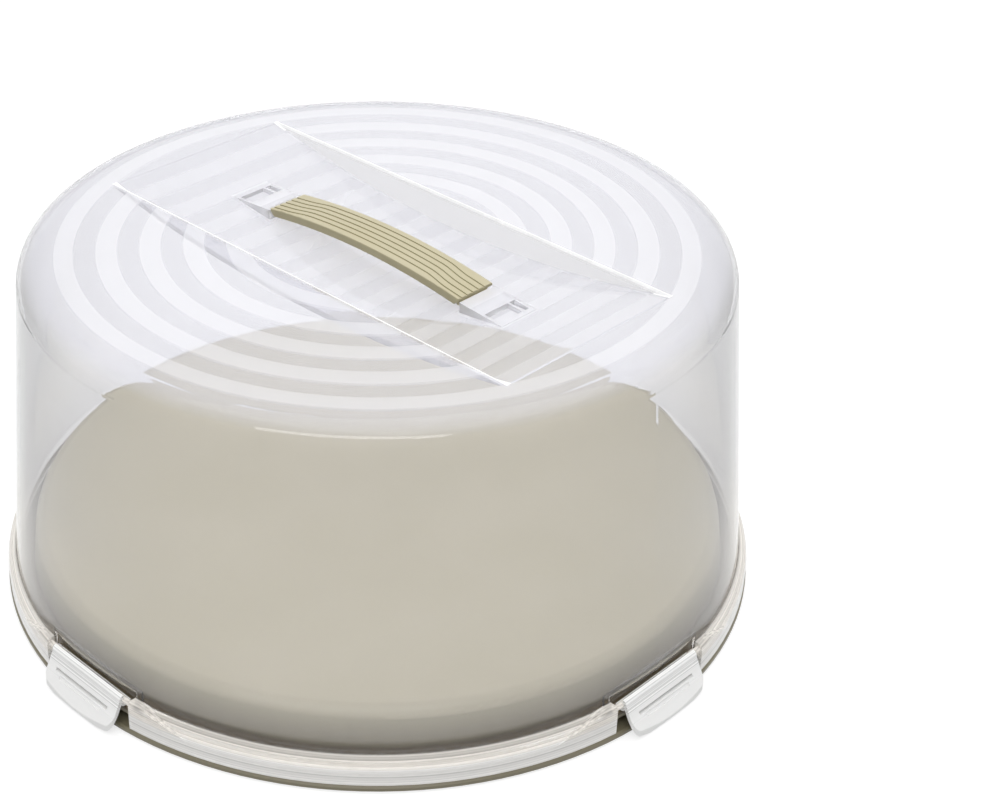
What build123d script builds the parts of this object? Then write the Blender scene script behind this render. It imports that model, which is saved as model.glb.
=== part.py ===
from build123d import *
from math import atan2, cos, degrees, hypot, radians, sin, sqrt
import os

# Round cake carrier: a clear domed lid on a raised plate, held down by four latch clips, with a strap
# handle over a scooped channel in the lid.
# Millimetres, +Z up, origin at the centre of the face that stands on the bench.
# The handle runs along X, and the clips sit on +X, +Y, -X and -Y.

# The whole carrier
clip_names = ("latch_clip_right", "latch_clip_rear", "latch_clip_left", "latch_clip_front")
rim_radius = 167.0            # foot flange of the plate, the widest circle of the plate and lid
overall_height = 156.0        # bench to the crest of the handle
handle_proud = 1.0            # crest of the handle above the flat top of the lid

# Plate
plate_wall = 2.2
plateau_height = 30.0         # bench to the serving face
plateau_lean = 2.5            # side of the serving face leans in by this much, up to its corner
plateau_round = 5.0
plateau_foot_round = 2.0
plateau_inner_chamfer = 1.2
deck_height = 11.0            # ring that the lid stands on
deck_width = 9.0              # foot of the serving face's side to the edge of the rail
rail_inset = 3.0              # lip of the deck, which the clips hook under, inside the rim
rail_thickness = 3.0
rail_chamfer = 0.5
rail_overhang = 3.5           # rail beyond the bottom of the groove under it
flange_height = 3.2           # top of the foot flange
flange_chamfer = 0.8
foot_chamfer = 1.0
stiffener_height = 3.0        # ring under the serving face
stiffener_width = 2.0
stiffener_radius = 80.0

# Lid
lid_wall = 1.8
seat_gap = 0.3                # lid above the deck
skirt_gap = 0.4               # lid's skirt above the foot flange
skirt_inset = 0.4             # lid's skirt inside the edge of the foot flange
skirt_wall = 1.6
seat_chamfer = 1.0            # inner corner of the rim flange, over the edge of the rail
wall_foot_inset = 4.4         # outside of the dome where it meets the rim flange, inside the rim
wall_lean = 13.4              # dome leans in by this much from there to the corner of its top
shoulder_round = 11.0
lid_flange_rise = 5.0         # rim flange above the deck, at the dome
lid_flange_drop = 6.4         # fall of the rim flange from the dome to its skirt
ridge_count = 3               # ridges that step down the rim flange
ridge_flat = 0.6              # share of each ridge that is nearly level
ridge_fall = 0.2              # share of each ridge's fall that is on its level part

# Channel in the top of the lid, with a floor that is one long arc
scoop_end_inset = 32.2        # ends of the channel inside the corner of the dome's top
scoop_half_width = 47.0
scoop_depth = 12.0
scoop_draft = 1.5             # floor narrower than the mouth, on each side
scoop_lip = 0.7               # chamfer along the sides of the mouth

# Clips and the rods that they turn on
clip_width = 45.0
clip_side_gap = 4.5           # clip to each end of its cut-out
clip_wall = 1.6
rod_radius = 1.3
rod_clearance = 0.05
rod_embed = 2.5               # rod held in the flange at each end
rod_cover = 1.4               # flange above the rod
hinge_inset = 4.7             # hinge line inside the rim
hinge_rise = 3.5              # and above the deck
knuckle_wall = 1.5
knuckle_start = -160.0        # the knuckle is a C, from here to knuckle_end, in degrees from outwards
knuckle_end = 75.0
knuckle_gap = 0.6             # knuckle to the back of its pocket in the dome
pocket_headroom = 2.6         # pocket above the knuckle
pad_level = 5.0               # raised part of the rim flange beyond each end of a cut-out
pad_ramp = 24.0               # its slope down to the edge of the rim flange
pad_blend = 30.0              # round between the two
pad_root = 1.0                # pads sunk in the flange's skirt
pad_round = 2.4
knee_out = 4.6                # bend of the clip, outwards from its hinge line
knee_down = 5.2               # and below it
knee_round = 12.0
tab_out = 10.1                # end of the finger tab, outwards from the hinge line
tab_lift = 1.2                # and above the bench
tab_bow = 1.7                 # tab's end bulges this far beyond its corners
tab_corner_round = 3.5
hook_width = 30.0
hook_thickness = 1.5
hook_grip = 1.7               # hook under the rail
hook_clearance = 0.3
window_length = 34.0          # slot through the clip above the hook
window_height = 1.5
window_down = 4.8             # slot's centre below the hinge line
relief_length = 27.0          # shallow step below the slot
relief_height = 1.6
relief_depth = 0.5
relief_down = 2.2             # step's centre below the bend, along the tab

# Handle
handle_width = 20.0
handle_half_length = 56.2
handle_rise = 4.4             # crest above the ends
handle_thickness = 3.4
handle_edge_round = 0.5
tip_thickness = 1.2           # handle is thinned from below at its ends
tip_step = 2.2                # run of the slope that thins it
flute_count = 5               # grooves along the top of the handle
flute_pitch = 3.3
flute_width = 0.9
flute_depth = 0.5
flute_swerve = 1.6            # sideways shift of the grooves near the handle's ends
swerve_start = 34.0
swerve_end = 48.0
leg_width = 16.0
leg_thickness = 2.0
leg_inset = 0.7               # leg back from the handle's end
toe_length = 3.2              # toe under the socket's plate
toe_thickness = 1.2
toe_clearance = 0.2

# Handle sockets, two ramps that rise out of the floor of the channel
socket_gap = 0.8              # handle's end to the socket
socket_length = 23.0
socket_plate = 1.5            # plate over the toe
socket_lip = 0.2              # ramp above the channel's floor at its outer end
socket_root = 1.0             # ramp sunk in the channel's floor
well_length = 8.0
well_side_wall = 1.4
well_end_wall = 2.4
well_depth = 1.9
rib_width = 1.2               # rib that stands in the well
rib_offset = 5.0              # rib from the centre line

# Sizes that follow from the ones above
clip_count = len(clip_names)
rail_radius = rim_radius - rail_inset
groove_radius = rail_radius - rail_overhang
plateau_foot_radius = rail_radius - deck_width
plateau_radius = plateau_foot_radius - plateau_lean
wall_foot_radius = rim_radius - wall_foot_inset
wall_top_radius = wall_foot_radius - wall_lean
hinge_radius = rim_radius - hinge_inset
hinge_height = deck_height + hinge_rise
lid_top = overall_height - handle_proud
lid_flange_height = deck_height + lid_flange_rise
lid_flange_edge = lid_flange_height - lid_flange_drop
lid_seat = deck_height + seat_gap
skirt_bottom = flange_height + skirt_gap
skirt_radius = rim_radius - skirt_inset
skirt_inner_radius = skirt_radius - skirt_wall
rail_bottom = deck_height - rail_thickness
knuckle_bore = rod_radius + rod_clearance
knuckle_radius = knuckle_bore + knuckle_wall
pocket_radius = hinge_radius - knuckle_radius - knuckle_gap
pocket_top = hinge_height + knuckle_radius + pocket_headroom
pad_top = hinge_height + rod_radius + rod_cover
cutout_half = clip_width / 2 + clip_side_gap
scoop_half_length = wall_top_radius - scoop_end_inset
scoop_floor_radius = (scoop_half_length**2 + scoop_depth**2) / (2 * scoop_depth)
scoop_centre_height = lid_top - scoop_depth + scoop_floor_radius
handle_end_height = overall_height - handle_rise
handle_top_radius = (handle_half_length**2 + handle_rise**2) / (2 * handle_rise)
handle_centre_height = overall_height - handle_top_radius
socket_start = handle_half_length + socket_gap
socket_end = socket_start + socket_length
socket_height = handle_end_height - tip_thickness
toe_top = socket_height - socket_plate - toe_clearance
toe_bottom = toe_top - toe_thickness
toe_end = socket_start + toe_length


def scoop_floor(x):
    """Height of the channel's floor at a distance x from the middle of the lid."""
    return scoop_centre_height - sqrt(scoop_floor_radius**2 - x**2)


def dome_radius(height):
    """Outside radius of the dome's wall at a height, before its shoulder."""
    share = (height - lid_flange_height) / (lid_top - lid_flange_height)
    return wall_foot_radius + (wall_top_radius - wall_foot_radius) * share


def corner(sketch, point):
    """The sketch's vertex at a point of its plane."""
    return sketch.vertices().sort_by_distance(point)[0]


def clip_plane(index):
    """Section plane of one clip: its X points away from the carrier's axis and its Y points up."""
    turn = radians(360 / clip_count * index)
    return Plane(origin=(0, 0, 0), x_dir=(cos(turn), sin(turn), 0), z_dir=(sin(turn), -cos(turn), 0))


# Plate: one turned section, a raised tray whose edge steps down to the deck, the rail, the groove and the
# foot flange, hollow underneath, with a stiffening ring under the serving face
with BuildPart() as base_plate:
    with BuildSketch(Plane.XZ) as plate_section:
        with BuildLine():
            Polyline(
                (0, plateau_height),
                (plateau_radius, plateau_height),
                (plateau_foot_radius, deck_height),
                (rail_radius, deck_height),
                (rail_radius, rail_bottom),
                (groove_radius, rail_bottom),
                (groove_radius, flange_height),
                (rim_radius, flange_height),
                (rim_radius, 0),
                (groove_radius - plate_wall, 0),
                (groove_radius - plate_wall, deck_height - plate_wall),
                (plateau_foot_radius - plate_wall, deck_height - plate_wall),
                (plateau_radius - plate_wall, plateau_height - plate_wall),
                (0, plateau_height - plate_wall),
                close=True,
            )
        make_face()
        fillet(corner(plate_section, (plateau_radius, plateau_height)), plateau_round)
        chamfer(corner(plate_section, (plateau_radius - plate_wall, plateau_height - plate_wall)),
                plateau_inner_chamfer)
        fillet(corner(plate_section, (plateau_foot_radius, deck_height)), plateau_foot_round)
        chamfer(corner(plate_section, (rail_radius, deck_height)), rail_chamfer)
        chamfer(corner(plate_section, (rim_radius, flange_height)), flange_chamfer)
        chamfer(corner(plate_section, (rim_radius, 0)), foot_chamfer)
    revolve(axis=Axis.Z)
    with BuildSketch(Plane.XY.offset(plateau_height - plate_wall - stiffener_height)):
        Circle(stiffener_radius)
        Circle(stiffener_radius - stiffener_width, mode=Mode.SUBTRACT)
    extrude(amount=stiffener_height)

# Channel across the lid's top: the space above an arc, with sides that lean apart
with BuildPart() as scoop:
    with BuildSketch(Plane.YZ):
        with BuildLine():
            Polyline(
                (-scoop_half_width - scoop_lip, lid_top),
                (scoop_half_width + scoop_lip, lid_top),
                (scoop_half_width, lid_top - scoop_lip),
                (scoop_half_width - scoop_draft, lid_top - scoop_depth),
                (scoop_draft - scoop_half_width, lid_top - scoop_depth),
                (-scoop_half_width, lid_top - scoop_lip),
                close=True,
            )
        make_face()
    extrude(amount=scoop_half_length, both=True)
    with BuildSketch(Plane.XZ):
        with Locations((0, scoop_centre_height)):
            Circle(scoop_floor_radius)
    extrude(amount=scoop_half_width + scoop_lip, both=True, mode=Mode.INTERSECT)

# The same channel as seen from inside the lid: the one above, larger by the lid's wall
with BuildPart() as scoop_shell:
    with BuildSketch(Plane.YZ):
        with BuildLine():
            Polyline(
                (-scoop_half_width - lid_wall, lid_top),
                (scoop_half_width + lid_wall, lid_top),
                (scoop_half_width - scoop_draft + lid_wall, lid_top - scoop_depth - lid_wall),
                (scoop_draft - scoop_half_width - lid_wall, lid_top - scoop_depth - lid_wall),
                close=True,
            )
        make_face()
    extrude(amount=rim_radius, both=True)
    with BuildSketch(Plane.XZ):
        with Locations((0, scoop_centre_height)):
            Circle(scoop_floor_radius + lid_wall)
    extrude(amount=rim_radius, both=True, mode=Mode.INTERSECT)

# Inside of the lid: the turned hollow, less the channel and less the back of each clip's pocket
with BuildPart() as lid_hollow:
    with BuildSketch(Plane.XZ) as hollow_section:
        with BuildLine():
            Polyline(
                (0, 0),
                (skirt_inner_radius, 0),
                (skirt_inner_radius, lid_seat),
                (dome_radius(lid_seat) - lid_wall, lid_seat),
                (wall_top_radius - lid_wall, lid_top - lid_wall),
                (0, lid_top - lid_wall),
                close=True,
            )
        make_face()
        chamfer(corner(hollow_section, (skirt_inner_radius, lid_seat)), seat_chamfer)
        fillet(corner(hollow_section, (wall_top_radius - lid_wall, lid_top - lid_wall)),
               shoulder_round - lid_wall)
    revolve(axis=Axis.Z)
    add(scoop_shell.part, mode=Mode.SUBTRACT)
    for index in range(clip_count):
        with BuildSketch(clip_plane(index)):
            with BuildLine():
                Polyline(
                    (pocket_radius - lid_wall, lid_seat),
                    (rim_radius, lid_seat),
                    (rim_radius, pocket_top + lid_wall),
                    (pocket_radius, pocket_top + lid_wall),
                    (pocket_radius - lid_wall, pocket_top),
                    close=True,
                )
            make_face()
        extrude(amount=cutout_half + lid_wall, both=True, mode=Mode.SUBTRACT)

# Raised pads of the rim flange, which hold the ends of the hinge rods: their outline seen from each side
with BuildPart() as pad_slopes:
    pad_end = cutout_half + pad_level
    for facing in (Plane.XZ, Plane.YZ):
        with BuildSketch(facing) as pad_front:
            with BuildLine():
                Polyline(
                    (-pad_end - pad_ramp, 0),
                    (-pad_end - pad_ramp, lid_flange_edge),
                    (-pad_end, pad_top),
                    (pad_end, pad_top),
                    (pad_end + pad_ramp, lid_flange_edge),
                    (pad_end + pad_ramp, 0),
                    close=True,
                )
            make_face()
            fillet(pad_front.vertices().group_by(Axis.Y)[-1], pad_blend)
        extrude(amount=rim_radius, both=True)

# The pads themselves: a turned ring kept inside that outline
with BuildPart() as pads:
    with BuildSketch(Plane.XZ) as pad_section:
        with BuildLine():
            Polyline(
                (wall_foot_radius - lid_wall, lid_flange_edge - pad_root),
                (skirt_radius, lid_flange_edge - pad_root),
                (skirt_radius, pad_top),
                (wall_foot_radius - lid_wall, pad_top),
                close=True,
            )
        make_face()
        fillet(corner(pad_section, (skirt_radius, pad_top)), pad_round)
    revolve(axis=Axis.Z)
    add(pad_slopes.part, mode=Mode.INTERSECT)

# Lid: dome, rim flange with its ridges and skirt, pads, cut-outs and rods for the clips, channel and sockets
with BuildPart() as dome_lid:
    with BuildSketch(Plane.XZ) as lid_section:
        with BuildLine():
            ridge_run = (skirt_radius - wall_foot_radius) / ridge_count
            ridge_drop = lid_flange_drop / ridge_count
            outline = [(0, skirt_bottom), (skirt_radius, skirt_bottom)]
            for ridge in range(ridge_count, 0, -1):
                foot_radius = wall_foot_radius + ridge * ridge_run
                foot_height = lid_flange_height - ridge * ridge_drop
                outline.append((foot_radius, foot_height))
                outline.append((foot_radius - ridge_run * (1 - ridge_flat),
                                foot_height + ridge_drop * (1 - ridge_fall)))
            outline.append((wall_foot_radius, lid_flange_height))
            outline.append((wall_top_radius, lid_top))
            outline.append((0, lid_top))
            Polyline(*outline, close=True)
        make_face()
        fillet(corner(lid_section, (wall_top_radius, lid_top)), shoulder_round)
    revolve(axis=Axis.Z)
    add(pads.part)
    add(lid_hollow.part, mode=Mode.SUBTRACT)
    add(scoop.part, mode=Mode.SUBTRACT)
    for index in range(clip_count):
        with BuildSketch(clip_plane(index)):
            with BuildLine():
                Polyline(
                    (pocket_radius, 0),
                    (rim_radius + tab_out, 0),
                    (rim_radius + tab_out, pocket_top),
                    (pocket_radius + knuckle_gap, pocket_top),
                    (pocket_radius, pocket_top - knuckle_gap),
                    close=True,
                )
            make_face()
        extrude(amount=cutout_half, both=True, mode=Mode.SUBTRACT)
        with BuildSketch(clip_plane(index)):
            with Locations((hinge_radius, hinge_height)):
                Circle(rod_radius)
        extrude(amount=cutout_half + rod_embed, both=True)
    for side in (1, -1):
        ramp_half_width = handle_width / 2
        with BuildSketch(Plane.XZ):
            with BuildLine():
                Polyline(
                    (side * socket_start, socket_height),
                    (side * socket_end, scoop_floor(socket_end) + socket_lip),
                    (side * socket_end, scoop_floor(socket_end) - socket_root),
                    (side * socket_start, scoop_floor(socket_start) - socket_root),
                    close=True,
                )
            make_face()
        extrude(amount=ramp_half_width, both=True)
        with BuildSketch(Plane.XZ):
            with BuildLine():
                Polyline(
                    (side * (socket_start - toe_clearance), toe_top + toe_clearance),
                    (side * (toe_end + toe_clearance), toe_top + toe_clearance),
                    (side * (toe_end + toe_clearance), toe_bottom - toe_clearance),
                    (side * (socket_start - toe_clearance), toe_bottom - toe_clearance),
                    close=True,
                )
            make_face()
        extrude(amount=leg_width / 2 + toe_clearance, both=True, mode=Mode.SUBTRACT)
        well_outer = socket_end - well_end_wall
        well_floor = scoop_floor(well_outer) - well_depth + lid_wall / 2
        with BuildSketch(Plane.XY.offset(well_floor)):
            with Locations((side * (well_outer - well_length / 2), 0)):
                Rectangle(well_length, handle_width - 2 * well_side_wall)
            with Locations((side * (well_outer - well_length / 2), rib_offset)):
                Rectangle(well_length, rib_width, mode=Mode.SUBTRACT)
        extrude(amount=socket_height - well_floor, mode=Mode.SUBTRACT)

# Clips: one section with a C-shaped knuckle, a leaning panel and a flared tab, trimmed to a bowed end, with
# a hook whose faces are arcs about the rod, and a slot over the hook
panel_top = (hinge_radius + knuckle_radius - clip_wall / 2, hinge_height)
knee = (hinge_radius + knee_out, hinge_height - knee_down)
tab_end = (hinge_radius + tab_out, tab_lift)
tab_angle = degrees(atan2(tab_end[1] - knee[1], tab_end[0] - knee[0]))
hook_inner = hypot(rail_radius - hinge_radius, hinge_height - rail_bottom) + hook_clearance
hook_outer = hook_inner + hook_thickness
hook_tip = rail_radius - hook_grip
hook_root = knee[0] + clip_wall / 2
relief_place = (
    knee[0] + relief_down * cos(radians(tab_angle)) - clip_wall / 2 * sin(radians(tab_angle)),
    knee[1] + relief_down * sin(radians(tab_angle)) + clip_wall / 2 * cos(radians(tab_angle)),
)
mouth_reach = 2 * knuckle_radius
mouth_upper = (mouth_reach * cos(radians(knuckle_end)), mouth_reach * sin(radians(knuckle_end)))
mouth_lower = (mouth_reach * cos(radians(knuckle_start)), mouth_reach * sin(radians(knuckle_start)))


def make_clip(index):
    """One latch clip, closed, at its place round the lid."""
    section = clip_plane(index)
    plan = Plane(origin=(0, 0, 0), x_dir=section.x_dir, z_dir=(0, 0, 1))
    with BuildPart() as clip:
        with BuildSketch(section):
            with BuildLine():
                FilletPolyline(panel_top, knee, tab_end, radius=knee_round)
            trace(line_width=clip_wall)
            with Locations((hinge_radius, hinge_height)):
                Circle(knuckle_radius)
                Polygon((0, 0), mouth_upper, (-mouth_reach, mouth_reach), mouth_lower,
                        align=None, mode=Mode.SUBTRACT)
                Circle(knuckle_bore, mode=Mode.SUBTRACT)
        extrude(amount=clip_width / 2, both=True)
        with BuildSketch(section):
            with Locations((hinge_radius, hinge_height)):
                Circle(hook_outer)
                Circle(hook_inner, mode=Mode.SUBTRACT)
            with Locations((hook_tip, 0)):
                Rectangle(hook_root - hook_tip, hinge_height, align=Align.MIN, mode=Mode.INTERSECT)
        extrude(amount=hook_width / 2, both=True)
        with BuildSketch(section):
            with Locations((hinge_radius + knuckle_radius, hinge_height - window_down)):
                Rectangle(tab_out, window_height, align=(Align.MIN, Align.CENTER))
        extrude(amount=window_length / 2, both=True, mode=Mode.SUBTRACT)
        with BuildSketch(section):
            with Locations(relief_place):
                Rectangle(relief_height, 2 * relief_depth, rotation=tab_angle)
        extrude(amount=relief_length / 2, both=True, mode=Mode.SUBTRACT)
        with BuildSketch(plan) as outline:
            with BuildLine():
                side = clip_width / 2
                start = hinge_radius - knuckle_radius
                end = hinge_radius + tab_out
                ThreePointArc((end - tab_bow, -side), (end, 0), (end - tab_bow, side))
                Polyline((end - tab_bow, side), (start, side), (start, -side), (end - tab_bow, -side))
            make_face()
            fillet(outline.vertices().group_by(Axis.X)[-1], tab_corner_round)
        extrude(amount=hinge_height + knuckle_radius, mode=Mode.INTERSECT)
    return clip.part


# Grooves along the handle's top: bands that swerve sideways near its ends, cut from a thin skin of the arch
def flute_edge(across):
    """One edge of a groove, from the handle's left end to its right end."""
    shifted = across - flute_swerve
    reach = handle_half_length + tip_thickness
    Line((-reach, shifted), (-swerve_end, shifted))
    Spline((-swerve_end, shifted), (-swerve_start, across), tangents=((1, 0), (1, 0)))
    Line((-swerve_start, across), (swerve_start, across))
    Spline((swerve_start, across), (swerve_end, shifted), tangents=((1, 0), (1, 0)))
    Line((swerve_end, shifted), (reach, shifted))
    return reach, shifted


with BuildPart() as flutes:
    with BuildSketch(Plane.XY.offset(socket_height)):
        for flute in range(flute_count):
            centre = (flute - (flute_count - 1) / 2) * flute_pitch
            with BuildLine():
                reach, high = flute_edge(centre + flute_width / 2)
                reach, low = flute_edge(centre - flute_width / 2)
                Line((-reach, high), (-reach, low))
                Line((reach, high), (reach, low))
            make_face()
    extrude(amount=overall_height - socket_height)
    with BuildSketch(Plane.XZ):
        with Locations((0, handle_centre_height)):
            Circle(handle_top_radius + flute_depth)
            Circle(handle_top_radius - flute_depth, mode=Mode.SUBTRACT)
    extrude(amount=handle_width / 2, both=True, mode=Mode.INTERSECT)

# Handle: an arched strap, thinned from below at its ends, with a leg and a toe that hook into each socket
with BuildPart() as carry_handle:
    underside_radius = handle_top_radius - handle_thickness
    step_start = handle_half_length - tip_step
    step_height = handle_centre_height + sqrt(underside_radius**2 - step_start**2)
    with BuildSketch(Plane.XZ):
        with BuildLine():
            ThreePointArc((-handle_half_length, handle_end_height), (0, overall_height),
                          (handle_half_length, handle_end_height))
            Polyline((handle_half_length, handle_end_height), (handle_half_length, socket_height),
                     (step_start, step_height))
            ThreePointArc((step_start, step_height), (0, overall_height - handle_thickness),
                          (-step_start, step_height))
            Polyline((-step_start, step_height), (-handle_half_length, socket_height),
                     (-handle_half_length, handle_end_height))
        make_face()
    extrude(amount=handle_width / 2, both=True)
    top_edges = carry_handle.edges().filter_by(GeomType.CIRCLE)
    fillet(top_edges.filter_by(lambda edge: edge.radius > handle_top_radius - flute_depth), handle_edge_round)
    add(flutes.part, mode=Mode.SUBTRACT)
    leg_front = handle_half_length - leg_inset
    leg_back = leg_front - leg_thickness
    for side in (1, -1):
        with BuildSketch(Plane.XZ):
            with BuildLine():
                Polyline(
                    (side * leg_front, socket_height),
                    (side * leg_front, toe_top),
                    (side * toe_end, toe_top),
                    (side * toe_end, toe_bottom),
                    (side * leg_back, toe_bottom),
                    (side * leg_back, socket_height),
                    close=True,
                )
            make_face()
        extrude(amount=leg_width / 2, both=True)

os.makedirs("parts", exist_ok=True)
pieces = {"base_plate": base_plate.part, "dome_lid": dome_lid.part, "carry_handle": carry_handle.part}
for index, name in enumerate(clip_names):
    pieces[name] = make_clip(index)
for name, piece in pieces.items():
    piece.label = name
    export_step(piece, f"parts/{name}.step")
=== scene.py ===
from math import cos, pi, sin

import bmesh
import bpy
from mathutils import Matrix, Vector


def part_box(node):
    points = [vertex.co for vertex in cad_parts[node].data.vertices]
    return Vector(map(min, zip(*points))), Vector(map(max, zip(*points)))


# Round cake carrier: clear domed lid with frosted bands on its top, khaki plate, beige strap handle and four
# clear latch clips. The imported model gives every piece; this script gives them their plastics, light and
# camera. Metres, +Z up, the handle along X.
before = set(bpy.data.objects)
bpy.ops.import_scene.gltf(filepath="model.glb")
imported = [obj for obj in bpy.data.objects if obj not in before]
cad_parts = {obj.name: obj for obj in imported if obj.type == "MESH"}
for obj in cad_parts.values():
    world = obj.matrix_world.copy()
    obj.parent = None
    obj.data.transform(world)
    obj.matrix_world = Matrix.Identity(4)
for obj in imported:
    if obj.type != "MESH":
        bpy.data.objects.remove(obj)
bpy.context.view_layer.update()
MM = 0.001

# Places read from the frame
rim_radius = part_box("base_plate")[1].x
lid_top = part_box("dome_lid")[1].z

# The photograph's camera, fitted to the carrier's outline: its distance from the axis, its height over the
# bench, its tilt below level and its turn round the axis in radians, its focal length as pixels of a frame
# 1000 pixels wide, and the axis's column in that frame. The sensor's width is in millimetres.
PHOTO_WIDTH = 1000
CAMERA_REACH = 0.7124
CAMERA_HEIGHT = 0.5226
CAMERA_TILT = 0.5601
CAMERA_TURN = 0.8
FOCAL_PIXELS = 1914.6
AXIS_COLUMN = 377.5
SENSOR_WIDTH = 36.0

# Sockets of the Mix node, for mixing numbers and for mixing colours. By name they can't be told apart.
NUMBER_A = 2
NUMBER_B = 3
COLOUR_A = 6
COLOUR_B = 7
COLOUR_OUT = 2


def linear(hex_colour):
    """sRGB hex text to linear red, green, blue and alpha."""
    values = [int(hex_colour[i:i + 2], 16) / 255 for i in (1, 3, 5)]
    return [v / 12.92 if v <= 0.04045 else ((v + 0.055) / 1.055) ** 2.4 for v in values] + [1.0]


def add_node(tree, kind, inputs=None, output=0, **settings):
    """Adds a node with its settings and inputs, each a value or a socket to link, and gives one output."""
    node = tree.nodes.new("ShaderNode" + kind)
    for name, value in settings.items():
        setattr(node, name, value)
    for name, value in (inputs or {}).items():
        if isinstance(value, bpy.types.NodeSocket):
            tree.links.new(value, node.inputs[name])
        else:
            node.inputs[name].default_value = value
    return node.outputs[output] if node.outputs else None


def new_material(name):
    """An empty material and its node tree."""
    material = bpy.data.materials.new(name)
    material.use_nodes = True
    material.node_tree.nodes.clear()
    return material, material.node_tree


def dress(node_name, material):
    """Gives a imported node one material."""
    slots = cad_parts[node_name].data.materials
    slots.clear()
    slots.append(material)


def from_axis(tree, place):
    """The distance of a place from the carrier's axis."""
    flat = add_node(tree, "VectorMath", {0: place, 1: (1, 1, 0)}, operation="MULTIPLY")
    return add_node(tree, "VectorMath", {0: flat}, output="Value", operation="LENGTH")


def area(tree, *limits):
    """One where each value lies between its two limits, and nought elsewhere."""
    whole = 1.0
    for value, low, high in limits:
        inside = add_node(tree, "Math", {0: value, 1: (low + high) / 2, 2: (high - low) / 2},
                          operation="COMPARE")
        whole = add_node(tree, "Math", {0: whole, 1: inside}, operation="MULTIPLY")
    return whole


def upward(tree):
    """One where a surface lies level, nought where it stands upright."""
    normal = add_node(tree, "TexCoord", output="Normal")
    rise = add_node(tree, "SeparateXYZ", {0: normal}, output="Z")
    return add_node(tree, "Math", {0: rise}, operation="ABSOLUTE")


# Most of a noise lies between these two values. A fine grain, which has more detail, spreads wider.
NOISE_LOW = 0.35
NOISE_HIGH = 0.65
GRAIN_LOW = 0.3
GRAIN_HIGH = 0.7


def drawn_lines(tree, outward, z, width, low, dullest, brightest):
    """Noise drawn out into level lines, as the plastic flowed round the mould."""
    across_lines = add_node(tree, "CombineXYZ", {0: outward, 1: z})
    lines = add_node(tree, "TexNoise", {"Vector": across_lines, "Scale": 1 / width, "Detail": 2.0})
    return add_node(tree, "MapRange", {"Value": lines, "From Min": low, "From Max": NOISE_HIGH,
                                       "To Min": dullest, "To Max": brightest})


# The index of refraction of polypropylene is 1.49. The clear pieces are given less, because their
# reflections are fainter in the photograph than that would make them.
PLASTIC_IOR = 1.49
CLEAR_IOR = 1.3

# Clarified polypropylene, injection moulded: clear dome walls from polished steel, a milkier top and rim
# from steel that is lightly etched, with frosted bands: rings round the axis, and fainter cross stripes in
# the channel. Seen along its surface the plastic is milkier, because the path through it is longer. The foot
# of the wall is the clearest, so the plate's deck, painted dark as shade, shows through it as a line over
# the rim.

# Areas of the lid: its top, by depth under the crest and by how level it lies, the rim flange and its skirt,
# the wall's foot, the sockets, and the lips along the channel, which carry a painted highlight
TOP_DEPTH = 16 * MM
LEVEL_START = 0.6
LEVEL_FULL = 0.97
RIM_START = rim_radius - 4.5 * MM
RIM_FULL = rim_radius - 4.1 * MM
SKIRT_TOP = 11 * MM
FOOT_TOP = 21 * MM
SOCKET_START = 56 * MM
SOCKET_END = 82 * MM
SOCKET_HALF_WIDTH = 10.5 * MM
LIP_INSIDE = 46 * MM
LIP_OUTSIDE = 48.4 * MM
LIP_END = 117.5 * MM
LIP_DEPTH = 1.5 * MM

# Frosted bands: the pitch holds one frosted band and one clear one, and the edge is how softly they meet
BAND_PITCH = 18 * MM
BAND_EDGE = 0.08
RING_STRENGTH = 1.0
STRIPE_STRENGTH = 0.6
PATTERN_RADIUS = 134 * MM
STRIPES_HALF_WIDTH = 45.5 * MM
STRIPES_HALF_LENGTH = 117 * MM

# Flow lines in the rim, and how far they swing its haze up and down. The real ones are finer than half a
# millimetre, and are drawn wider, so that they show.
RIM_LINE = 0.9 * MM
RIM_LINE_SWING = 0.5

# Haze is the share of light that the plastic scatters instead of letting it through. The wall has a little,
# and each finish adds its own. Turning away adds to it, gently by the lower power and steeply by the higher
# one. The wall's foot keeps only a small share of its haze.
WALL_HAZE = 0.07
# The lips' haze, with their pure white tint, is a painted highlight along the channel's edges
FINISH_HAZE = {"top": 0.13, "frosted": 0.13, "rim": 0.43, "skirt": 0.16, "lines": 0.4, "socket": 0.2,
               "lip": 0.65}
GRAZING_HAZE = {3.0: 0.3, 10.0: 0.6}
FOOT_SHARE = 0.15

# Heights between which the wall's tint takes the plate's beige, painted in for the plate seen through the
# wall, and how fast the wall greys as it turns away
BEIGE_START = 80 * MM
BEIGE_FULL = 46 * MM
GREY_POWER = 2.5

# Roughness of the polished wall and top, and of the etched rim
POLISHED = 0.02
ETCHED = 0.2


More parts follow.
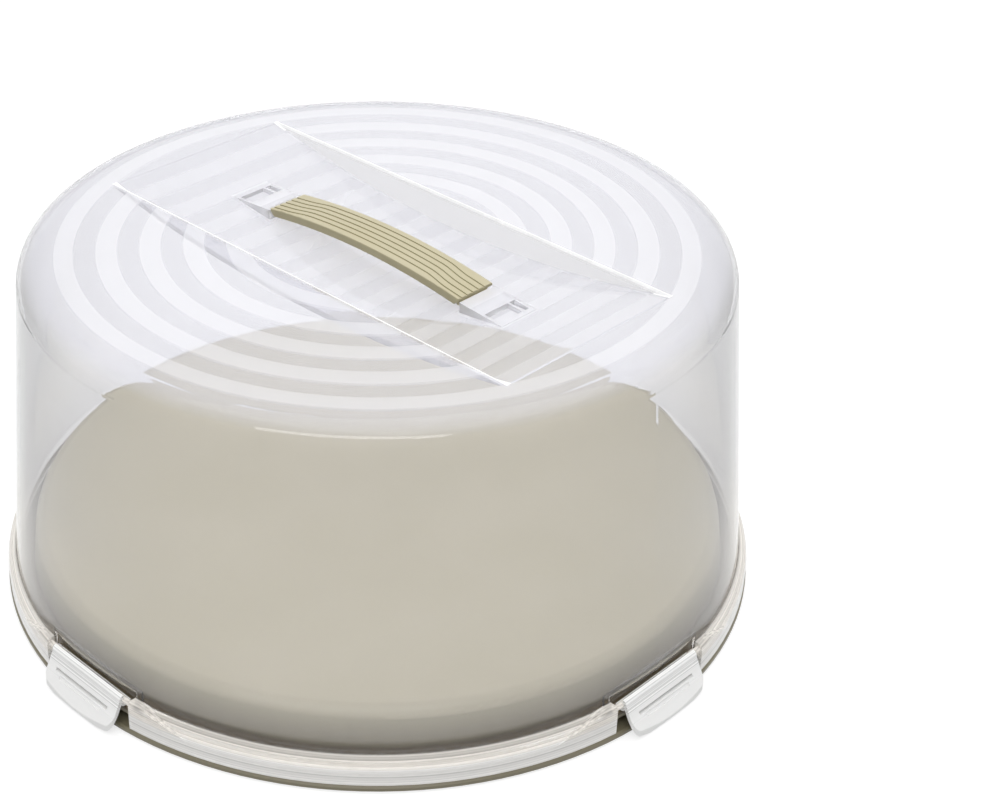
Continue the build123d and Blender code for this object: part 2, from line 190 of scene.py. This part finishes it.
def lid_areas(tree, x, y, z, radius):
    """Where the lid's finish changes: each area is one inside and nought outside."""
    along = add_node(tree, "Math", {0: x}, operation="ABSOLUTE")
    across = add_node(tree, "Math", {0: y}, operation="ABSOLUTE")
    high = (z, lid_top - TOP_DEPTH, lid_top + MM)
    crest = (z, lid_top - LIP_DEPTH, lid_top + MM)
    level = add_node(tree, "MapRange", {"Value": upward(tree), "From Min": LEVEL_START,
                                        "From Max": LEVEL_FULL})
    return {
        "top": add_node(tree, "Math", {0: level, 1: area(tree, high)}, operation="MULTIPLY"),
        "rim": add_node(tree, "MapRange", {"Value": radius, "From Min": RIM_START, "From Max": RIM_FULL}),
        "skirt": area(tree, (z, 0, SKIRT_TOP), (radius, RIM_START, rim_radius + MM)),
        "foot": area(tree, (z, 0, FOOT_TOP), (radius, 0, RIM_START)),
        "socket": area(tree, high, (across, 0, SOCKET_HALF_WIDTH), (along, SOCKET_START, SOCKET_END)),
        "channel": area(tree, high, (across, 0, LIP_OUTSIDE), (along, 0, LIP_END)),
        "lip": area(tree, crest, (across, LIP_INSIDE, LIP_OUTSIDE), (along, 0, LIP_END)),
        "striped": area(tree, (across, 0, STRIPES_HALF_WIDTH), (along, 0, STRIPES_HALF_LENGTH)),
        "patterned": area(tree, (radius, 0, PATTERN_RADIUS)),
    }


def frosted_bands(tree, x, radius, areas):
    """The frosted bands of the lid's top: rings, and cross stripes in the channel."""
    bands = []
    for way, strength in ((radius, RING_STRENGTH), (x, STRIPE_STRENGTH)):
        turns = add_node(tree, "Math", {0: way, 1: 2 * pi / BAND_PITCH}, operation="MULTIPLY")
        wave = add_node(tree, "Math", {0: turns}, operation="SINE")
        bands.append(add_node(tree, "MapRange", {"Value": wave, "From Min": -BAND_EDGE,
                                                 "From Max": BAND_EDGE, "To Max": strength}))
    frosted = add_node(tree, "Mix", {0: areas["striped"], NUMBER_A: bands[0], NUMBER_B: bands[1]},
                       data_type="FLOAT")
    for within in ("top", "patterned"):
        frosted = add_node(tree, "Math", {0: frosted, 1: areas[within]}, operation="MULTIPLY")
    return frosted


def lid_haze(tree, areas, grazing):
    """The lid's haze, from its areas and from how far it turns away."""
    haze = WALL_HAZE
    for name, amount in FINISH_HAZE.items():
        haze = add_node(tree, "Math", {0: areas[name], 1: amount, 2: haze}, operation="MULTIPLY_ADD")
    for power, amount in GRAZING_HAZE.items():
        milky = add_node(tree, "Math", {0: grazing, 1: power}, operation="POWER")
        haze = add_node(tree, "Math", {0: milky, 1: amount, 2: haze}, operation="MULTIPLY_ADD")
    share = add_node(tree, "MapRange", {"Value": areas["foot"], "To Min": 1.0, "To Max": FOOT_SHARE})
    return add_node(tree, "Math", {0: haze, 1: share}, operation="MULTIPLY")


def lid_tint(tree, z, areas, grazing):
    """White walls that grey as they turn away, a cooler top, a warmer rim, and lips painted white as a
    highlight. Low on the wall, where it turns away, the plate's beige is painted into the tint.
    """
    # Painted: low on the wall, where it turns away, the tint takes the plate's beige as if seen through it
    painted_plate_beige = add_node(tree, "MapRange", {"Value": z, "From Min": BEIGE_START, "From Max": BEIGE_FULL})
    turned_away = add_node(tree, "Math", {0: grazing, 1: GREY_POWER}, operation="POWER")
    tint = linear("#F4F4F6")
    for where, part, outside_part, inside_part in (
            (turned_away, painted_plate_beige, "#B2B3B4", "#D6CFBF"),
            (areas["top"], areas["frosted"], "#ECECF1", "#F3F3F7"),
            (areas["rim"], areas["skirt"], "#FFFBF5", "#FFFEFC")):
        colour = add_node(tree, "Mix", {0: part, COLOUR_A: linear(outside_part),
                                        COLOUR_B: linear(inside_part)}, COLOUR_OUT, data_type="RGBA")
        tint = add_node(tree, "Mix", {0: where, COLOUR_A: tint, COLOUR_B: colour}, COLOUR_OUT,
                        data_type="RGBA")
    # Painted highlight: the lips along the channel are tinted pure white
    return add_node(tree, "Mix", {0: areas["lip"], COLOUR_A: tint, COLOUR_B: linear("#FFFFFF")}, COLOUR_OUT,
                    data_type="RGBA")


def clear_polypropylene_lid():
    """The lid's clear plastic, with its milkier top and rim, frosted bands and flow lines."""
    material, tree = new_material("clear_moulded_polypropylene")
    place = add_node(tree, "TexCoord", output="Object")
    x, y, z = add_node(tree, "SeparateXYZ", {0: place}).node.outputs
    radius = from_axis(tree, place)
    areas = lid_areas(tree, x, y, z, radius)
    areas["frosted"] = frosted_bands(tree, x, radius, areas)
    lines = drawn_lines(tree, radius, z, RIM_LINE, NOISE_LOW, -RIM_LINE_SWING, RIM_LINE_SWING)
    areas["lines"] = add_node(tree, "Math", {0: areas["rim"], 1: lines}, operation="MULTIPLY")

    # How far the surface turns away, but for the channel, whose steep sides stay clear
    facing = add_node(tree, "LayerWeight", {"Blend": 0.5}, output="Facing")
    outside = add_node(tree, "Math", {0: 1.0, 1: areas["channel"]}, operation="SUBTRACT")
    grazing = add_node(tree, "Math", {0: facing, 1: outside}, operation="MULTIPLY")

    haze = lid_haze(tree, areas, grazing)
    clear = add_node(tree, "Math", {0: 1.0, 1: haze}, operation="SUBTRACT", use_clamp=True)
    tint = lid_tint(tree, z, areas, grazing)
    roughness = add_node(tree, "MapRange", {"Value": areas["rim"], "To Min": POLISHED, "To Max": ETCHED})
    shader = add_node(tree, "BsdfPrincipled", {"Base Color": tint, "Roughness": roughness, "IOR": CLEAR_IOR,
                                               "Transmission Weight": clear})
    add_node(tree, "OutputMaterial", {"Surface": shader})
    return material


# The same polypropylene in the clips, etched all over and milky, with flow lines along the barrel that grips
# the rod. The lines and the etched grain are finer on the real clips, and are drawn wide enough to show. Tab
# and barrel are told apart by height.
TAB_START = 8.5 * MM
TAB_FULL = 7.5 * MM
BARREL_START = 11.5 * MM
BARREL_FULL = 12.5 * MM
CLIP_LINE = 0.6 * MM
CLIP_NOISE_LOW = 0.4
CLIP_GRAIN = 0.6 * MM
CLIP_GRAIN_DEPTH = 0.02 * MM

# How clear the clips are, what the tab adds, and what the lines of the barrel add from the milkiest to the
# clearest
CLIP_CLEAR = 0.13
TAB_CLEAR = 0.02
CLIP_LINE_MILKY = -0.12
CLIP_LINE_CLEAR = 0.42

# Roughness of a clip's body and of its tab
CLIP_ETCHED = 0.15
TAB_ETCHED = 0.35


def clear_polypropylene_clip():
    """The clips' milky plastic."""
    material, tree = new_material("etched_clear_moulded_polypropylene")
    place = add_node(tree, "TexCoord", output="Object")
    x, y, z = add_node(tree, "SeparateXYZ", {0: place}).node.outputs
    tab = add_node(tree, "MapRange", {"Value": z, "From Min": TAB_START, "From Max": TAB_FULL})
    barrel = add_node(tree, "MapRange", {"Value": z, "From Min": BARREL_START, "From Max": BARREL_FULL})

    # A clip stands out along X or along Y, so the longer of the two tells how far out a place is
    sideways = [add_node(tree, "Math", {0: way}, operation="ABSOLUTE") for way in (x, y)]
    outward = add_node(tree, "Math", {0: sideways[0], 1: sideways[1]}, operation="MAXIMUM")
    lines = drawn_lines(tree, outward, z, CLIP_LINE, CLIP_NOISE_LOW, CLIP_LINE_MILKY, CLIP_LINE_CLEAR)
    clear = CLIP_CLEAR
    for where, amount in ((tab, TAB_CLEAR), (barrel, lines)):
        clear = add_node(tree, "Math", {0: where, 1: amount, 2: clear}, operation="MULTIPLY_ADD")
    roughness = add_node(tree, "MapRange", {"Value": tab, "To Min": CLIP_ETCHED, "To Max": TAB_ETCHED})
    grain = add_node(tree, "TexNoise", {"Vector": place, "Scale": 1 / CLIP_GRAIN, "Detail": 2.0})
    normal = add_node(tree, "Bump", {"Height": grain, "Distance": CLIP_GRAIN_DEPTH, "Strength": 0.3})
    shader = add_node(tree, "BsdfPrincipled", {"Base Color": linear("#FFFFFE"), "Roughness": roughness,
                                               "IOR": CLEAR_IOR, "Transmission Weight": clear,
                                               "Normal": normal})
    add_node(tree, "OutputMaterial", {"Surface": shader})
    return material


# Coloured polypropylene, injection moulded against spark-eroded steel: a soft satin with a very fine grain.
# Where the steel was left smooth the same plastic is glossier, and its colour is darkened there with painted
# shade. The grain is about 0.2 mm on the real plate and is drawn at 0.7 mm, because a finer one would not
# show.
GRAIN = 0.7 * MM
GRAIN_DEPTH = 0.03 * MM
CLOUD = 40 * MM

# Roughness of the satin, from the floor of its grain to the crests, and what smooth steel takes off it
SATIN_LOW = 0.42
SATIN_HIGH = 0.52
SMOOTH_CHANGE = -0.12


def satin_finish(tree, colour, cloud_colour, smooth_and_shaded, painted_shade_colour):
    """The satin plastic: two near colours in soft clouds, glossier where it is smooth, and darker there with
    painted shade.
    """
    place = add_node(tree, "TexCoord", output="Object")
    clouds = add_node(tree, "TexNoise", {"Vector": place, "Scale": 1 / CLOUD, "Detail": 2.0})
    cloudy = add_node(tree, "MapRange", {"Value": clouds, "From Min": NOISE_LOW, "From Max": NOISE_HIGH})
    grain = add_node(tree, "TexNoise", {"Vector": place, "Scale": 1 / GRAIN, "Detail": 3.0})
    rough = add_node(tree, "MapRange", {"Value": grain, "From Min": GRAIN_LOW, "From Max": GRAIN_HIGH,
                                        "To Min": SATIN_LOW, "To Max": SATIN_HIGH})
    # The clouds are the plastic's own tone; the second colour is painted shade over the smooth parts
    for where, over in ((cloudy, cloud_colour), (smooth_and_shaded, painted_shade_colour)):
        colour = add_node(tree, "Mix", {0: where, COLOUR_A: colour, COLOUR_B: over}, COLOUR_OUT,
                          data_type="RGBA")
    roughness = add_node(tree, "Math", {0: smooth_and_shaded, 1: SMOOTH_CHANGE, 2: rough}, operation="MULTIPLY_ADD")
    normal = add_node(tree, "Bump", {"Height": grain, "Distance": GRAIN_DEPTH, "Strength": 0.4})
    shader = add_node(tree, "BsdfPrincipled", {"Base Color": colour, "Roughness": roughness,
                                               "IOR": PLASTIC_IOR, "Normal": normal})
    add_node(tree, "OutputMaterial", {"Surface": shader})


# The plate is smooth from the foot of its leaning side outwards and painted darker there as shade, darkest
# on the deck and in the corner over it, where the painted shade shows as a dark line inside the lid's rim
SMOOTH_SHADE_START = rim_radius - 14.2 * MM
SMOOTH_SHADE_FULL = rim_radius - 12 * MM
DECK_BOTTOM = 9.5 * MM
DECK_DARKEST = 12.5 * MM
DECK_TOP = 14.5 * MM


def khaki_plate():
    """The plate's satin plastic, smooth and painted with shade outside the serving face."""
    material, tree = new_material("khaki_satin_polypropylene")
    place = add_node(tree, "TexCoord", output="Object")
    z = add_node(tree, "SeparateXYZ", {0: place}, output="Z")
    smooth_and_shaded = add_node(tree, "MapRange", {"Value": from_axis(tree, place), "From Min": SMOOTH_SHADE_START,
                                         "From Max": SMOOTH_SHADE_FULL})
    low = add_node(tree, "MapRange", {"Value": z, "From Min": DECK_TOP, "From Max": DECK_DARKEST})
    deck_shade = add_node(tree, "Math", {0: low, 1: area(tree, (z, DECK_BOTTOM, DECK_TOP))}, operation="MULTIPLY")
    # Painted shade: darker khaki outside the serving face, darkest on the deck and the corner over it
    painted_shade = add_node(tree, "Mix", {0: deck_shade, COLOUR_A: linear("#77715D"), COLOUR_B: linear("#4D422D")},
                    COLOUR_OUT, data_type="RGBA")
    satin_finish(tree, linear("#C3BCA7"), linear("#C0B9A3"), smooth_and_shaded, painted_shade)
    return material


# The strap's grained top is matt and light; its sides and grooves come from smooth steel and are painted
# darker as shade
STRAP_SIDE_SHADE_START = 0.85
STRAP_SIDE_SHADE_FULL = 0.45


def beige_strap():
    """The strap's satin plastic, with painted shade on its sides and grooves."""
    material, tree = new_material("beige_satin_polypropylene")
    shaded_sides = add_node(tree, "MapRange", {"Value": upward(tree), "From Min": STRAP_SIDE_SHADE_START,
                                        "From Max": STRAP_SIDE_SHADE_FULL})
    # Painted shade: the sides and grooves take the darker #A79F80
    satin_finish(tree, linear("#C4BC9F"), linear("#BFB798"), shaded_sides, linear("#A79F80"))
    return material


dress("dome_lid", clear_polypropylene_lid())
clip_plastic = clear_polypropylene_clip()
for side in ("right", "rear", "left", "front"):
    dress(f"latch_clip_{side}", clip_plastic)
dress("base_plate", khaki_plate())
dress("carry_handle", beige_strap())

# The photograph shows hardly any shadow of the clear lid, and none of the strap on the channel under it
for without_shadow in ("dome_lid", "carry_handle"):
    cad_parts[without_shadow].visible_shadow = False

# Studio: a pale floor and world, white to the camera and through the clear plastic. The floor's white is
# part glow and part lit paper, so that the carrier's shadow shows on it.
FLOOR_SIZE = 6.0
FLOOR_GLOW = 0.7
FILL_LIGHT = 0.7


def seen_directly(tree):
    """One where the camera sees a thing straight, in a gloss or through clear plastic, and not as light."""
    path = add_node(tree, "LightPath").node.outputs
    seen = path["Is Camera Ray"]
    for ray in ("Is Glossy Ray", "Is Transmission Ray"):
        seen = add_node(tree, "Math", {0: seen, 1: path[ray]}, operation="MAXIMUM")
    before_any_matt = add_node(tree, "Math", {0: path["Diffuse Depth"], 1: 0.5}, operation="LESS_THAN")
    return add_node(tree, "Math", {0: seen, 1: before_any_matt}, operation="MULTIPLY")


def studio_floor():
    """A floor that looks white and takes the carrier's shadow."""
    made = bmesh.new()
    bmesh.ops.create_grid(made, x_segments=1, y_segments=1, size=FLOOR_SIZE)
    mesh = bpy.data.meshes.new("studio_floor")
    made.to_mesh(mesh)
    made.free()
    floor = bpy.data.objects.new("studio_floor", mesh)
    bpy.context.scene.collection.objects.link(floor)
    material, tree = new_material("white_paper_sweep")
    glow = add_node(tree, "Emission", {"Color": linear("#FFFFFF"), "Strength": FLOOR_GLOW})
    paper = add_node(tree, "BsdfDiffuse", {"Color": linear("#A8A8A8")})
    bright = add_node(tree, "AddShader", {0: glow, 1: paper})
    plain = add_node(tree, "BsdfDiffuse", {"Color": linear("#B8B8B8")})
    shader = add_node(tree, "MixShader", {0: seen_directly(tree), 1: plain, 2: bright})
    add_node(tree, "OutputMaterial", {"Surface": shader})
    floor.data.materials.append(material)


def studio_world():
    """A surround that looks white and lights the carrier a little less."""
    world = bpy.data.worlds.new("white_studio")
    bpy.context.scene.world = world
    world.use_nodes = True
    tree = world.node_tree
    tree.nodes.clear()
    white = add_node(tree, "Background", {"Color": linear("#FFFFFF"), "Strength": 1.0})
    fill = add_node(tree, "Background", {"Color": linear("#FFFFFF"), "Strength": FILL_LIGHT})
    shader = add_node(tree, "MixShader", {0: seen_directly(tree), 1: fill, 2: white})
    add_node(tree, "OutputWorld", {"Surface": shader})


def softbox(name, place, width, depth, power):
    """A rectangular lamp that faces the carrier."""
    data = bpy.data.lights.new(name, "AREA")
    data.shape = "RECTANGLE"
    data.size = width
    data.size_y = depth
    data.energy = power
    lamp = bpy.data.objects.new(name, data)
    lamp.location = place
    toward_carrier = Vector((0, 0, lid_top / 2)) - Vector(place)
    lamp.rotation_euler = toward_carrier.to_track_quat("-Z", "Y").to_euler()
    bpy.context.scene.collection.objects.link(lamp)


def photo_camera():
    """The photograph's view of the carrier."""
    data = bpy.data.cameras.new("photo_camera")
    data.sensor_width = SENSOR_WIDTH
    data.lens = FOCAL_PIXELS / PHOTO_WIDTH * SENSOR_WIDTH
    data.shift_x = (PHOTO_WIDTH / 2 - AXIS_COLUMN) / PHOTO_WIDTH
    camera = bpy.data.objects.new("photo_camera", data)
    camera.location = (CAMERA_REACH * sin(CAMERA_TURN), -CAMERA_REACH * cos(CAMERA_TURN), CAMERA_HEIGHT)
    camera.rotation_euler = (pi / 2 - CAMERA_TILT, 0, CAMERA_TURN)
    bpy.context.scene.collection.objects.link(camera)
    bpy.context.scene.camera = camera


studio_floor()
studio_world()
softbox("overhead_softbox", place=(0.0, 0.15, 1.4), width=1.4, depth=1.4, power=6.8)
softbox("front_strip_softbox", place=(0.58, -0.77, 1.2), width=1.2, depth=0.25, power=5.0)
photo_camera()
bpy.context.scene.view_settings.view_transform = "Standard"
